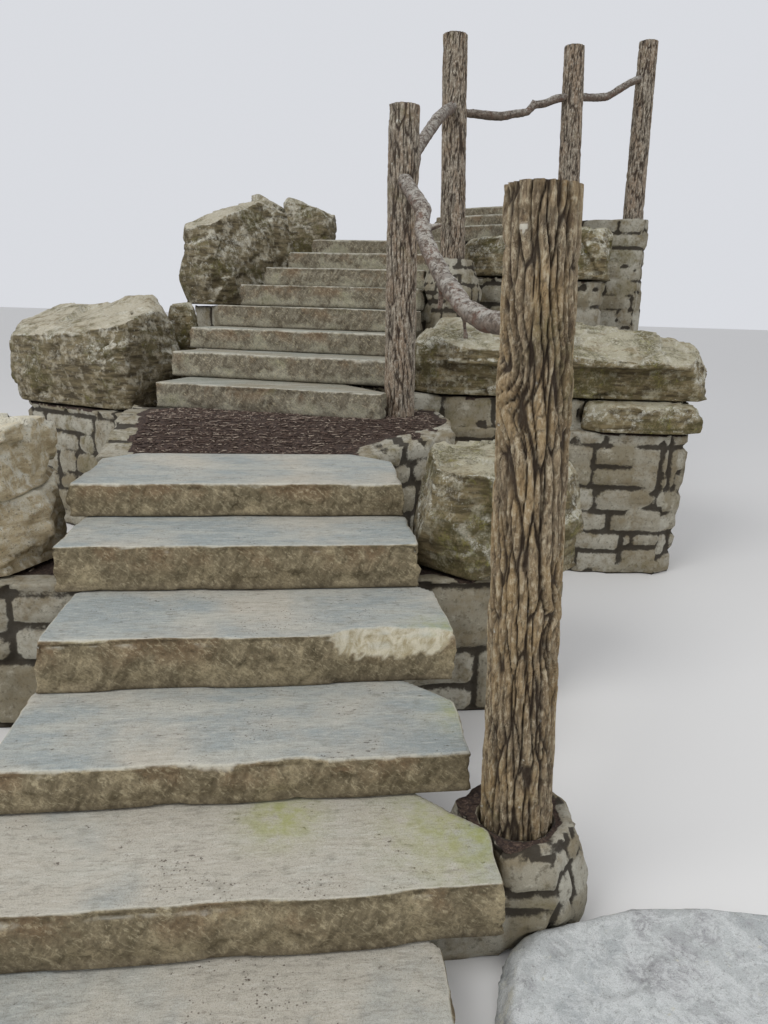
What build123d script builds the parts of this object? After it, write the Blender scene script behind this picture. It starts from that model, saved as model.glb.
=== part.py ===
from build123d import *
from dataclasses import dataclass
from math import cos, hypot, pi, radians, sin
import os

# Outdoor stone steps. Rock-faced sandstone slabs climb in three flights that turn to the right,
# with a landing between the first two. Packed-stone foundations carry them down to the floor,
# boulders flank them, and crooked branches between bark logs make the handrail on the right.
# Millimetres. X runs along the front edge of the lowest slab, Y runs up the hill, Z is up.
# The origin is on the floor under the lowest slab, a little behind the middle of its front edge.


@dataclass
class Step:
    """One slab: its thickness, how far the next one is set back, and its ends in the flight's plan."""
    rise: float
    going: float
    left: float
    right: float
    cut_left: float      # cut across the back left corner
    cut_right: float


@dataclass
class Stone:
    """A boulder beside a step: offset from that slab's end and front edge, and from a slab's bed."""
    beside: int
    offset: float        # sideways from the end of the slab, minus to the left
    up: float            # from the slab's front edge to the boulder's middle
    bed_of: int          # the step whose bed height the boulder's bed is measured from
    lift: float
    length: float
    width: float
    height: float
    turn: float
    tilt: float          # slope of its top in degrees, 0 for a flat top that carries another stone
    seed: float
    dip: float = 0       # slope of its top down to the front, in degrees
    undercut: float = 0  # how far its front is cut back at the foot


@dataclass
class Log:
    """A post: its place beside a step, ground height against a slab's top, and how it leans."""
    beside: int
    offset: float
    up: float
    ground_of: int
    ground_lift: float
    height: float
    foot_diameter: float
    top_diameter: float
    lean_x: float
    lean_y: float


# Slabs
overlap = 80           # each slab lies this far onto the back of the slab below
edge_rough = 9         # how far a front edge wanders
side_rough = 12        # how far a slab's ends wander
face_bulge = 14        # the rock face stands out from the top edge by this
front_stations = 8
side_stations = 3

lower_front = -60
lower_steps = [
    Step(151, 485, -720, 515, 60, 80),
    Step(160, 359, -700, 674, 60, 225),
    Step(131, 422, -730, 672, 60, 190),
    Step(180, 414, -697, 698, 70, 110),
    Step(178, 390, -756, 641, 60, 70),
    Step(144, 700, -800, 634, 150, 190),
]

upper_turn = -19.7
upper_shift = -50      # the middle of the upper flight against the middle of the lower one
upper_sunk = 20        # its lowest slab stands this deep in the landing
upper_steps = [
    Step(155, 419, -732, 750, 60, 370),
    Step(166, 419, -846, 700, 70, 60),
    Step(150, 419, -919, 660, 50, 60),
    Step(160, 419, -899, 660, 70, 50),
    Step(168, 419, -886, 630, 60, 60),
    Step(162, 419, -841, 610, 60, 50),
    Step(158, 419, -779, 565, 60, 60),
    Step(147, 499, -686, 600, 90, 60),
]

turn_turn = -20.3       # against the upper flight
turn_shift = 805
turn_back = 430         # its front edge lies this far before the upper flight's back
turn_steps = [
    Step(143, 380, -610, 600, 60, 60),
    Step(140, 380, -590, 620, 60, 60),
    Step(125, 440, -560, 640, 60, 60),
]

# Landing of compacted stone dust
landing_depth = 715    # from the lower flight's back to the upper flight's front, in the middle
landing_rise = 132
landing_ramp = 450     # the rise is spread over this much of the depth
landing_drop = 12      # the dust lies this far below the slab it follows
landing_left = -860
landing_right = 1060
landing_run = 910      # how far the dust reaches back beside the upper flight
landing_corner = 260   # the corner beside the lower flight is cut back by this

# Foundations of packed stone
core_inset = 55        # foundations stand back this far from the slabs' ends
pier_inset = 30        # and this far from the boulders' beds
seam_depth = 260       # boulder piers join the flights' beds this deep

# Boulders
foot_rock = Stone(1, 610, 225, 1, 0, 1080, 760, 112, -7, 1, 3)
left_low_under = Stone(5, -500, 470, 5, 0, 820, 760, 300, 6, 0, 11)
left_low = Stone(5, -505, 480, 5, 300, 760, 700, 280, 0, 6, 14)
right_low = Stone(5, 366, 320, 5, -2, 720, 560, 530, -6, 2, 21, 7)
left_landing = Stone(2, -900, 469, 1, -114, 1350, 800, 810, -16, 4, 31, 24)
left_chock = Stone(4, -302, 49, 4, -215, 240, 210, 400, 20, 8, 5)
left_upper = Stone(6, -352, 300, 5, 0, 1200, 460, 1040, 66, 26, 41)
left_back = Stone(8, -225, 610, 8, 0, 560, 380, 610, 5, -18, 43)
right_long = Stone(3, 1080, 145, 2, -49, 2000, 600, 495, 12.7, -3, 51, 22, 110)
right_under = Stone(3, 1600, 75, 2, -239, 780, 420, 190, 12, 0, 53)
right_turn = Stone(7, 586, 28, 7, -25, 660, 400, 350, -18, -3, 61)
right_turn_end = Stone(1, 530, -201, 1, -350, 580, 440, 430, 10, 6, 67)
cleft_sides = 8        # cleft planes round a boulder in each tier
cleft_tiers = [(0.25, -14, 1.0), (0.5, 9, 0.98), (0.82, 42, 0.93)]   # height, pitch and reach
blockiness = 1.4       # 1 leaves a boulder square, 2 makes it oval
cleft_rough = 0.09     # how unevenly they are set

# Posts and their sockets
post_socket = 600      # length of the log that stands below ground height
socket_clearance = 4
socket_reach = 400     # the socket is cut this far above ground height too
footing_margin = 80    # packed stone round a post that stands beside a flight
footing_slope = 0.35   # its sides lean in by this share of their height
post_ridges = 11
bark_depth = 7
post_1 = Log(2, 84, 278, 2, -11, 1634, 200, 170, -80, -30)
post_2 = Log(1, 37, 240, 0, 0, 1687, 184, 176, -32, 4)
post_3 = Log(6, 196, 15, 7, -63, 1597, 205, 190, -67, 9)
post_4 = Log(2, 200, -5, 1, -73, 1500, 200, 180, -80, 10)
post_5 = Log(3, 500, 540, 2, 7, 1530, 195, 175, -40, 5)

# Branch rails: height above ground at each end, bends as (share of the way, height off the straight
# line, sideways), diameters, and side stubs as (share, sideways, downwards, length, diameter)
rail_sides = 8
rail_wander = 5
rail_1_ends = (1300, 1320)
rail_1_bends = [(0.02, 20, 0), (0.17, -17, 14), (0.29, -24, 10), (0.34, -92, -12), (0.40, -134, -8),
                (0.46, -166, 6), (0.52, -190, 10), (0.62, -169, 0), (0.71, -157, -8), (0.80, -128, 6),
                (0.90, -60, 0), (0.985, 0, 0)]
rail_1_sizes = (92, 72)
rail_1_stubs = [(0.33, 0.9, -0.3, 95, 44), (0.53, -0.1, 1.0, 120, 40), (0.74, 0.1, 1.0, 105, 36)]
rail_2_ends = (1300, 1100)
rail_2_bends = [(0.02, -40, 0), (0.16, -16, 0), (0.22, 58, 12), (0.37, 69, 8), (0.55, 98, -8),
                (0.79, 61, 0), (0.985, 17, 0)]
rail_2_sizes = (86, 90)
rail_2_stubs = [(0.24, 0.2, 0.9, 90, 34)]
rail_3_ends = (1070, 1120)
rail_3_bends = [(0.02, -4, 0), (0.20, -37, 10), (0.38, -76, 0), (0.50, -73, -8), (0.60, -72, -6),
                (0.65, -24, 0), (0.76, -23, 8), (0.84, 0, 0), (0.985, 10, 0)]
rail_3_sizes = (80, 74)
rail_3_stubs = [(0.63, 0.3, -0.9, 60, 24)]
rail_4_ends = (1120, 1250)
rail_4_bends = [(0.02, -3, 0), (0.30, -55, 14), (0.47, -81, 0), (0.56, -59, -10), (0.78, -20, 8),
                (0.985, 0, 0)]
rail_4_sizes = (74, 70)
rail_4_stubs = []


# Plans and prisms
def rough(seed, index):
    """A repeatable number from -1 to 1 that looks like chance."""
    value = sin(seed * 12.9898 + index * 78.233) * 43758.5453
    return 2 * (value - int(value // 1)) - 1


def outline(points, height=0):
    return Polyline([(x, y, height) for x, y in points], close=True)


def prism(points, bottom, top):
    return extrude(make_face(outline(points, bottom)), top - bottom, dir=(0, 0, 1))


def block(left, right, front, back, bottom, top):
    return prism([(left, front), (right, front), (right, back), (left, back)], bottom, top)


def hull(points):
    """Corners of the smallest convex outline round some points."""
    points = sorted(set(points))
    corners = []
    for run in (points, points[::-1]):
        chain = []
        for p in run:
            while len(chain) > 1 and ((chain[-1][0] - chain[-2][0]) * (p[1] - chain[-2][1])
                                      - (chain[-1][1] - chain[-2][1]) * (p[0] - chain[-2][0])) <= 0:
                chain.pop()
            chain.append(p)
        corners += chain[:-1]
    return corners


def spread(start, end, count):
    """Points from start towards end, without the end."""
    return [(start[0] + (end[0] - start[0]) * i / count, start[1] + (end[1] - start[1]) * i / count)
            for i in range(count)]


def spot(place, across, up):
    """A point of a flight's own plan, in the plan of the whole."""
    position = (place * Pos(across, up, 0)).position
    return (position.X, position.Y)


# Slabs
def slab_level(step, depth, seed, out, trim, height):
    """The slab's plan at one height: out moves the front out, trim pulls the other sides in."""
    left = step.left + trim
    right = step.right - trim
    back = depth - trim
    front_left = (left, -out)
    front_right = (right, -out)
    points = [(x, y + edge_rough * rough(seed, i))
              for i, (x, y) in enumerate(spread(front_left, front_right, front_stations))]
    points += [(x - side_rough * abs(rough(seed, 20 + i)), y)
               for i, (x, y) in enumerate(spread(front_right, (right, back - step.cut_right), side_stations))]
    points += [(right, back - step.cut_right), (right - step.cut_right, back), (left + step.cut_left, back)]
    points += [(x + side_rough * abs(rough(seed, 30 + i)), y)
               for i, (x, y) in enumerate(spread((left, back - step.cut_left), front_left, side_stations))]
    return make_face(outline(points, height))


def slab(step, depth, seed):
    """A rock-faced slab with a flat bed, a flat top and a front that bellies out."""
    levels = [(0, 4, 6), (0.55 * step.rise, face_bulge, 0), (step.rise, 0, 10)]
    return loft([slab_level(step, depth, seed, out, trim, height) for height, out, trim in levels], ruled=True)


class Flight:
    """Slabs laid one on the back of the other, with the packed-stone bed that carries them."""

    def __init__(self, name, place, bed, front, steps, seed):
        self.place = place
        self.steps = steps
        self.beds = []
        self.tops = []
        self.fronts = []
        self.slabs = {}
        self.core = None
        packed_to = front + core_inset
        for index, step in enumerate(steps):
            last = index == len(steps) - 1
            depth = step.going if last else step.going + overlap
            shape = place * (Pos(0, front, bed) * slab(step, depth, seed + index))
            self.slabs[f"{name}_step_{index + 1}"] = shape
            if bed > 0:
                pack_to = front + depth - core_inset if last else front + depth
                packing = place * block(step.left + core_inset, step.right - core_inset - step.cut_right,
                                        packed_to, pack_to, 0, bed)
                self.core = packing if self.core is None else self.core + packing
            packed_to = front + depth
            self.beds.append(bed)
            self.fronts.append(front)
            self.back = front + depth
            bed += step.rise
            front += step.going
            self.tops.append(bed)
        self.top = bed

    def beside(self, number, offset):
        """Across position beside the given step, to its left for a negative offset."""
        step = self.steps[number - 1]
        return step.left + offset if offset < 0 else step.right + offset

    def seam(self, number, offset):
        """Line inside the bed of a step, on the side of the offset, for a pier to join."""
        step = self.steps[number - 1]
        if offset < 0:
            across = step.left + core_inset + seam_depth
        else:
            across = step.right - core_inset - step.cut_right - seam_depth
        front = self.fronts[number - 1] + overlap
        return [spot(self.place, across, front), spot(self.place, across, front + step.going)]


# Boulders
def boulder(stone):
    """A block cut by tiers of cleft planes: undercut foot, steep sides and flatter shoulders."""
    shape = block(-stone.length / 2, stone.length / 2, -stone.width / 2, stone.width / 2, 0, stone.height)
    for tier, (level, pitch, keep) in enumerate(cleft_tiers):
        for index in range(cleft_sides):
            chance = rough(stone.seed, index + 10 * tier)
            angle = 2 * pi * (index + 0.35 * chance) / cleft_sides
            reach = (abs(stone.length / 2 * cos(angle)) ** blockiness
                     + abs(stone.width / 2 * sin(angle)) ** blockiness) ** (1 / blockiness)
            out = keep * reach * (1 + cleft_rough * rough(stone.seed, 40 + index + 10 * tier))
            slope = radians(pitch * (1 + 0.4 * chance))
            cut = Plane(origin=(out * cos(angle), out * sin(angle), level * stone.height),
                        z_dir=(cos(angle) * cos(slope), sin(angle) * cos(slope), sin(slope)))
            shape = split(shape, bisect_by=cut, keep=Keep.BOTTOM)
    if stone.tilt or stone.dip:
        high_side = stone.length / 4 if stone.tilt > 0 else -stone.length / 4
        lid = Plane(origin=(high_side, stone.width / 4, 0.97 * stone.height),
                    z_dir=(-sin(radians(stone.tilt)), -sin(radians(stone.dip)), 1))
        shape = split(shape, bisect_by=lid, keep=Keep.BOTTOM)
    if stone.undercut:
        hollow = Rot(10, 0, 0) * Box(2 * stone.length, 2 * stone.undercut, 0.8 * stone.height)
        shape -= Pos(0, -stone.width / 2, 0) * hollow
    return shape


def place_stone(flight, stone):
    bed = flight.beds[stone.bed_of - 1] + stone.lift
    across = flight.beside(stone.beside, stone.offset)
    up = flight.fronts[stone.beside - 1] + stone.up
    return flight.place * (Pos(across, up, bed) * (Rot(0, 0, stone.turn) * boulder(stone)))


def pier(flight, stone, shape):
    """Packed stone from the floor to a boulder's bed, widening into the flight's own bed."""
    bed = shape.faces().sort_by(Axis.Z)[0]
    middle = bed.center()
    shrink = 1 - 2 * pier_inset / min(stone.length, stone.width)
    corners = [(middle.X + shrink * (v.X - middle.X), middle.Y + shrink * (v.Y - middle.Y))
               for v in bed.vertices()]
    return prism(hull(corners + flight.seam(stone.bed_of, stone.offset)), 0, middle.Z)


# Logs and branches
def many_sided(plane, radii):
    count = len(radii)
    corners = [plane.from_local_coords((r * cos(2 * pi * i / count), r * sin(2 * pi * i / count), 0))
               for i, r in enumerate(radii)]
    return make_face(Polyline(corners, close=True))


class Post:
    """A leaning bark log with level ends."""

    def __init__(self, flight, log, ground, seed):
        across = flight.beside(log.beside, log.offset)
        self.x, self.y = spot(flight.place, across, flight.fronts[log.beside - 1] + log.up)
        self.log = log
        self.ground = ground
        self.bottom = max(0, ground - post_socket)
        self.top = ground + log.height
        self.shape = self.trunk(seed)

    def at(self, height):
        share = (height - self.ground) / self.log.height
        return (self.x + share * self.log.lean_x, self.y + share * self.log.lean_y, height)

    def radius(self, height):
        share = (height - self.ground) / self.log.height
        return (self.log.foot_diameter + share * (self.log.top_diameter - self.log.foot_diameter)) / 2

    def trunk(self, seed):
        faces = []
        for level in range(6):
            height = self.bottom + (self.top - self.bottom) * level / 5
            radii = []
            for index in range(post_ridges):
                radii.append(self.radius(height) - 2 * abs(rough(seed, index)))
                radii.append(self.radius(height) - bark_depth * (0.7 + 0.3 * rough(seed + level, index)))
            faces.append(many_sided(Plane(origin=self.at(height)), radii))
        return loft(faces, ruled=True)

    def socket(self):
        rings = [Plane(origin=self.at(height)) * Circle(self.radius(height) + socket_clearance)
                 for height in (self.bottom, self.ground + socket_reach)]
        return loft([ring.faces()[0] for ring in rings], ruled=True)

    def footing(self, flight, number):
        """A cairn round the post on packed stone that joins the bed under the given step."""
        bed = flight.beds[number - 1]
        top_reach = self.log.foot_diameter / 2 + footing_margin
        foot_reach = top_reach + footing_slope * (self.ground - bed)
        foot, top = [[(self.x + reach * cos(radians(angle)), self.y + reach * sin(radians(angle)))
                      for angle in range(20, 380, 45)] for reach in (foot_reach, top_reach)]
        cairn = loft([make_face(outline(foot, bed)), make_face(outline(top, self.ground))], ruled=True)
        return prism(hull(foot + flight.seam(number, self.log.offset)), 0, bed) + cairn


def limb(points, diameters):
    """A round branch through some points, cut square to its way at each."""
    faces = []
    for index, centre in enumerate(points):
        before = Vector(points[max(index - 1, 0)])
        after = Vector(points[min(index + 1, len(points) - 1)])
        direction = after - before
        plane = Plane(origin=centre, z_dir=direction, x_dir=Vector(direction.Y, -direction.X, 0.01))
        faces.append(many_sided(plane, [diameters[index] / 2] * rail_sides))
    return loft(faces, ruled=True)


def rail(start, end, heights, bends, sizes, stubs, seed):
    """A crooked branch from post to post, coped to both, with the stubs of its side shoots."""
    a = start.at(start.ground + heights[0])
    b = end.at(end.ground + heights[1])
    length = hypot(b[0] - a[0], b[1] - a[1])
    side = ((a[1] - b[1]) / length, (b[0] - a[0]) / length)
    points = []
    diameters = []
    for index, (share, rise, sideways) in enumerate(bends):
        points.append((a[0] + share * (b[0] - a[0]) + sideways * side[0],
                       a[1] + share * (b[1] - a[1]) + sideways * side[1],
                       a[2] + share * (b[2] - a[2]) + rise))
        diameters.append(sizes[0] + share * (sizes[1] - sizes[0]) + rail_wander * rough(seed, index))
    branch = limb(points, diameters)
    for share, sideways, down, reach, thickness in stubs:
        nearest = min(range(len(bends)), key=lambda i: abs(bends[i][0] - share))
        root = Vector(points[nearest])
        tip = root + Vector(sideways * side[0], sideways * side[1], -down).normalized() * reach
        branch += limb([root, tip], [thickness, 0.7 * thickness])
    branch = branch - start.shape - end.shape
    return branch.solids().sort_by(SortBy.VOLUME)[-1]


# Flights
lower = Flight("lower", Location(), 0, lower_front, lower_steps, 1)
landing_top = lower.top + landing_rise - landing_drop
upper_place = Location((upper_shift, lower.back + landing_depth, 0), (0, 0, upper_turn))
upper = Flight("upper", upper_place, landing_top - upper_sunk, 0, upper_steps, 20)
turn_place = upper_place * Location((turn_shift, upper.back - turn_back, 0), (0, 0, turn_turn))
turn = Flight("turn", turn_place, upper.top, 0, turn_steps, 40)
pieces = {**lower.slabs, **upper.slabs, **turn.slabs}

# Boulders, each with the flight that its pier joins
boulders = {
    "foot_rock": (lower, foot_rock),
    "left_low_under_boulder": (lower, left_low_under),
    "left_low_boulder": (lower, left_low),
    "right_low_boulder": (lower, right_low),
    "left_landing_boulder": (upper, left_landing),
    "left_chock_stone": (upper, left_chock),
    "left_upper_boulder": (upper, left_upper),
    "left_back_boulder": (upper, left_back),
    "right_long_boulder": (upper, right_long),
    "right_under_boulder": (upper, right_under),
    "right_turn_boulder": (upper, right_turn),
    "right_turn_end_boulder": (turn, right_turn_end),
}
for name, (flight, stone) in boulders.items():
    pieces[name] = place_stone(flight, stone)
stones = list(pieces.values())

# Posts and rails
posts = [
    Post(lower, post_1, lower.tops[post_1.ground_of - 1] + post_1.ground_lift, 70),
    Post(upper, post_2, landing_top + post_2.ground_lift, 75),
    Post(upper, post_3, upper.tops[post_3.ground_of - 1] + post_3.ground_lift, 80),
    Post(turn, post_4, turn.tops[post_4.ground_of - 1] + post_4.ground_lift, 85),
    Post(turn, post_5, turn.tops[post_5.ground_of - 1] + post_5.ground_lift, 90),
]
for index, stake in enumerate(posts):
    pieces[f"post_{index + 1}"] = stake.shape
rails = [
    (posts[1], posts[0], rail_1_ends, rail_1_bends, rail_1_sizes, rail_1_stubs),
    (posts[1], posts[2], rail_2_ends, rail_2_bends, rail_2_sizes, rail_2_stubs),
    (posts[2], posts[3], rail_3_ends, rail_3_bends, rail_3_sizes, rail_3_stubs),
    (posts[3], posts[4], rail_4_ends, rail_4_bends, rail_4_sizes, rail_4_stubs),
]
for index, values in enumerate(rails):
    pieces[f"rail_{index + 1}"] = rail(*values, 100 + index)

# Foundations: the flights' beds with the boulders' piers and the posts' footings
cores = {"lower": lower.core, "upper": upper.core, "turn": turn.core}
owners = {lower: "lower", upper: "upper", turn: "turn"}
for name, (flight, stone) in boulders.items():
    if flight.beds[stone.bed_of - 1] + stone.lift > 0 and name != "left_low_boulder":
        cores[owners[flight]] += pier(flight, stone, pieces[name])
cores["lower"] += posts[0].footing(lower, 2)
cores["upper"] += posts[2].footing(upper, 6)
cores["turn"] += posts[3].footing(turn, 1) + posts[4].footing(turn, 3)

# The landing's surface ramps up to the upper flight
dust_front = lower.back - core_inset
dust_back = lower.back + landing_run
dust = Polyline((0, dust_front, 0), (0, dust_back, 0), (0, dust_back, landing_top),
                (0, lower.back + landing_ramp, landing_top), (0, lower.back, lower.top - landing_drop),
                (0, dust_front, lower.top - landing_drop), close=True)
landing = Pos(landing_left, 0, 0) * extrude(make_face(dust), landing_right - landing_left, dir=(1, 0, 0))
beside_slab = lower_steps[-1].right - core_inset
landing -= prism([(beside_slab, dust_front - overlap), (landing_right + overlap, dust_front - overlap),
                  (landing_right + overlap, lower.back + landing_corner), (landing_right, lower.back + landing_corner),
                  (beside_slab, lower.back)], -overlap, landing_top + overlap)
cores["landing"] = landing

# Masonry is packed up to the slabs, boulders and posts, and each part up to the one before it
obstacles = stones + [stake.socket() for stake in posts]
for name, core in cores.items():
    reach = core.bounding_box()
    for other in obstacles:
        box = other.bounding_box()
        if (box.min.X < reach.max.X and box.max.X > reach.min.X and box.min.Y < reach.max.Y
                and box.max.Y > reach.min.Y and box.min.Z < reach.max.Z):
            core = core - other
    obstacles.append(core)
    pieces[f"{name}_foundation"] = core

os.makedirs("parts", exist_ok=True)
for name, shape in pieces.items():
    export_step(shape, f"parts/{name}.step")
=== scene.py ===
import math
import bmesh
import bpy
import numpy as np
from mathutils import Matrix, Vector
from mathutils.bvhtree import BVHTree
from mathutils.kdtree import KDTree


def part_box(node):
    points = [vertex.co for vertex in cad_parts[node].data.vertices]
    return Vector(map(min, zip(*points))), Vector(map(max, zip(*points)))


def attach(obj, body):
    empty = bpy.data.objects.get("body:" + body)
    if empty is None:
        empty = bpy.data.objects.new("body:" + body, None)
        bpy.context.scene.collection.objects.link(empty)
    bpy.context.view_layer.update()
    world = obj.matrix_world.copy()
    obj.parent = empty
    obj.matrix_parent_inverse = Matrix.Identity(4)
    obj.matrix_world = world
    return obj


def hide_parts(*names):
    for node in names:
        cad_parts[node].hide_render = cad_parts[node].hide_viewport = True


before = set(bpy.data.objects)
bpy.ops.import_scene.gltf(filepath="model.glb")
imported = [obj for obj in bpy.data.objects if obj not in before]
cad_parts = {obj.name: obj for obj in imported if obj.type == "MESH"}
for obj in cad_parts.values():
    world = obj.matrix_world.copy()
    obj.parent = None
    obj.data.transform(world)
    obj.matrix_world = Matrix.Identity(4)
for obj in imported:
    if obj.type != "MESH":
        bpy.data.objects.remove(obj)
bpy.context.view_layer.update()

# The photograph's viewpoint: a place in metres, angles in degrees, lengths in pixels and millimetres
EYE = (0.14, -0.98, 1.656)
PITCH = 15.5
ROLL = 1.8
YAW = 7.3
FOCAL_PIXELS = 720
PICTURE_HEIGHT = 1024
SENSOR = 36

# The studio, with each lamp as its name, place, size and power
FLOOR_SIZE = 400
FLOOR_DROP = 0.001
FLOOR_COLOUR = (0.72, 0.71, 0.69, 1)
SKY_COLOUR = (0.93, 0.95, 1.0, 1)
SKY_STRENGTH = 0.75
LAMPS = (("key", (-5, -2, 8), 5, 420), ("fill", (6, -4, 6), 6, 160))
LAMP_AIM = (0.5, 3, 1)


def camera():
    """The photograph's viewpoint, at eye height in front of the lowest slab."""
    pitch = math.radians(PITCH)
    roll = math.radians(ROLL)
    yaw = math.radians(YAW)
    heading = Vector((math.sin(yaw), math.cos(yaw), 0))
    level = Vector((math.cos(yaw), -math.sin(yaw), 0))
    forward = heading * math.cos(pitch) - Vector((0, 0, math.sin(pitch)))
    upward = heading * math.sin(pitch) + Vector((0, 0, math.cos(pitch)))
    right = level * math.cos(roll) + upward * math.sin(roll)
    top = upward * math.cos(roll) - level * math.sin(roll)
    lens = bpy.data.cameras.new("camera")
    lens.sensor_width = SENSOR
    lens.lens = SENSOR * FOCAL_PIXELS / PICTURE_HEIGHT
    eye = bpy.data.objects.new("camera", lens)
    turn = Matrix((right, top, -forward)).transposed().to_4x4()
    eye.matrix_world = Matrix.Translation(EYE) @ turn
    bpy.context.collection.objects.link(eye)
    bpy.context.scene.camera = eye


def studio():
    """A pale floor and soft light from above and both sides."""
    bpy.ops.mesh.primitive_plane_add(size=FLOOR_SIZE, location=(0, 0, -FLOOR_DROP))
    floor = bpy.context.object
    floor.name = "floor"
    floor_look = bpy.data.materials.new("floor")
    floor_look.use_nodes = True
    floor_shader = floor_look.node_tree.nodes["Principled BSDF"]
    floor_shader.inputs["Base Color"].default_value = FLOOR_COLOUR
    floor_shader.inputs["Roughness"].default_value = 0.9
    floor.data.materials.append(floor_look)
    world = bpy.data.worlds.new("studio")
    bpy.context.scene.world = world
    world.use_nodes = True
    sky = world.node_tree.nodes["Background"]
    sky.inputs["Color"].default_value = SKY_COLOUR
    sky.inputs["Strength"].default_value = SKY_STRENGTH
    for name, place, size, power in LAMPS:
        lamp = bpy.data.lights.new(name, "AREA")
        lamp.size = size
        lamp.energy = power
        light = bpy.data.objects.new(name, lamp)
        light.location = place
        light.rotation_euler = (Vector(LAMP_AIM) - Vector(place)).to_track_quat("-Z", "Y").to_euler()
        bpy.context.collection.objects.link(light)
    bpy.context.scene.view_settings.view_transform = "Standard"


# Materials
GLOSS = 0.3


class Look:
    """A procedural material, wired node by node. Sizes are in metres."""

    def __init__(self, name, roughness=0.9):
        self.material = bpy.data.materials.new(name)
        self.material.use_nodes = True
        self.tree = self.material.node_tree
        self.shader = self.tree.nodes["Principled BSDF"]
        self.shader.inputs["Roughness"].default_value = roughness
        self.shader.inputs["Specular IOR Level"].default_value = GLOSS
        self.place = self.tree.nodes.new("ShaderNodeTexCoord").outputs["Object"]
        self.bumps = []

    def node(self, kind, inputs=(), **settings):
        """A new node. A socket among its inputs is linked, and any other value is set."""
        made = self.tree.nodes.new(kind)
        for key, value in settings.items():
            setattr(made, key, value)
        for key, value in dict(inputs).items():
            if isinstance(value, bpy.types.NodeSocket):
                self.tree.links.new(value, made.inputs[key])
            else:
                made.inputs[key].default_value = value
        return made

    def squeezed(self, scale, turn=0):
        """Place turned on the flat and scaled along each axis. A scale under 1 draws a pattern out."""
        inputs = {"Vector": self.place, "Rotation": (0, 0, turn), "Scale": scale}
        return self.node("ShaderNodeMapping", inputs).outputs[0]

    def slanted(self, turn, long):
        """Place drawn out along a line that leans from the upright, for streaks that run across a face."""
        inputs = {"Vector": self.place, "Rotation": (0, turn, 0), "Scale": (1, 1, long)}
        return self.node("ShaderNodeMapping", inputs, vector_type="TEXTURE").outputs[0]

    def noise(self, size, detail=4, roughness=0.55, place=None, warp=0):
        """Cloudy noise round 0.5 with clouds of this size and finer ones in them."""
        inputs = {"Vector": place or self.place, "Scale": 1 / size, "Detail": detail,
                  "Roughness": roughness, "Distortion": warp}
        return self.node("ShaderNodeTexNoise", inputs).outputs[0]

    def cells(self, size, place=None):
        """How far each place lies from the middle of its cell."""
        inputs = {"Vector": place or self.place, "Scale": 1 / size}
        return self.node("ShaderNodeTexVoronoi", inputs).outputs[0]

    def span(self, value, low, high):
        """0 up to low, 1 from high on, or the other way round where low is above high."""
        return self.node("ShaderNodeMapRange", {0: value, 1: low, 2: high, 3: 0.0, 4: 1.0}).outputs[0]

    def plus(self, one, two):
        return self.node("ShaderNodeMath", {0: one, 1: two}, operation="ADD").outputs[0]

    def minus(self, one, two):
        return self.node("ShaderNodeMath", {0: one, 1: two}, operation="SUBTRACT").outputs[0]

    def times(self, one, two):
        return self.node("ShaderNodeMath", {0: one, 1: two}, operation="MULTIPLY").outputs[0]

    def mix(self, share, one, two):
        """The first colour where share is 0 and the second where it is 1."""
        return self.node("ShaderNodeMix", {0: share, 6: one, 7: two}, data_type="RGBA").outputs[2]

    def over(self, under, tint, where, strength):
        """A colour with a tint over it where a pattern is, no stronger than strength."""
        return self.mix(self.times(where, strength), under, tint)

    def upward(self):
        """How far a surface faces up, from -1 to 1."""
        normal = self.node("ShaderNodeNewGeometry").outputs["Normal"]
        return self.node("ShaderNodeSeparateXYZ", {0: normal}).outputs[2]

    def mark(self, name):
        """A number that the mesh keeps for each vertex."""
        return self.node("ShaderNodeAttribute", attribute_name=name).outputs["Fac"]

    def bump(self, height, depth, strength):
        """Adds relief, which done wires up."""
        self.bumps.append((height, depth, strength))

    def done(self, colour):
        """The finished material, with its bumps one on the other."""
        self.tree.links.new(colour, self.shader.inputs["Base Color"])
        normal = None
        for height, depth, strength in self.bumps:
            inputs = {"Height": height, "Distance": depth, "Strength": strength}
            if normal:
                inputs["Normal"] = normal
            normal = self.node("ShaderNodeBump", inputs).outputs[0]
        if normal:
            self.tree.links.new(normal, self.shader.inputs["Normal"])
        return self.material


def srgb(red, green, blue):
    """A colour given from 0 to 255, as Blender reads it."""
    return tuple(((part / 255 + 0.055) / 1.055) ** 2.4 for part in (red, green, blue)) + (1,)


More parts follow.
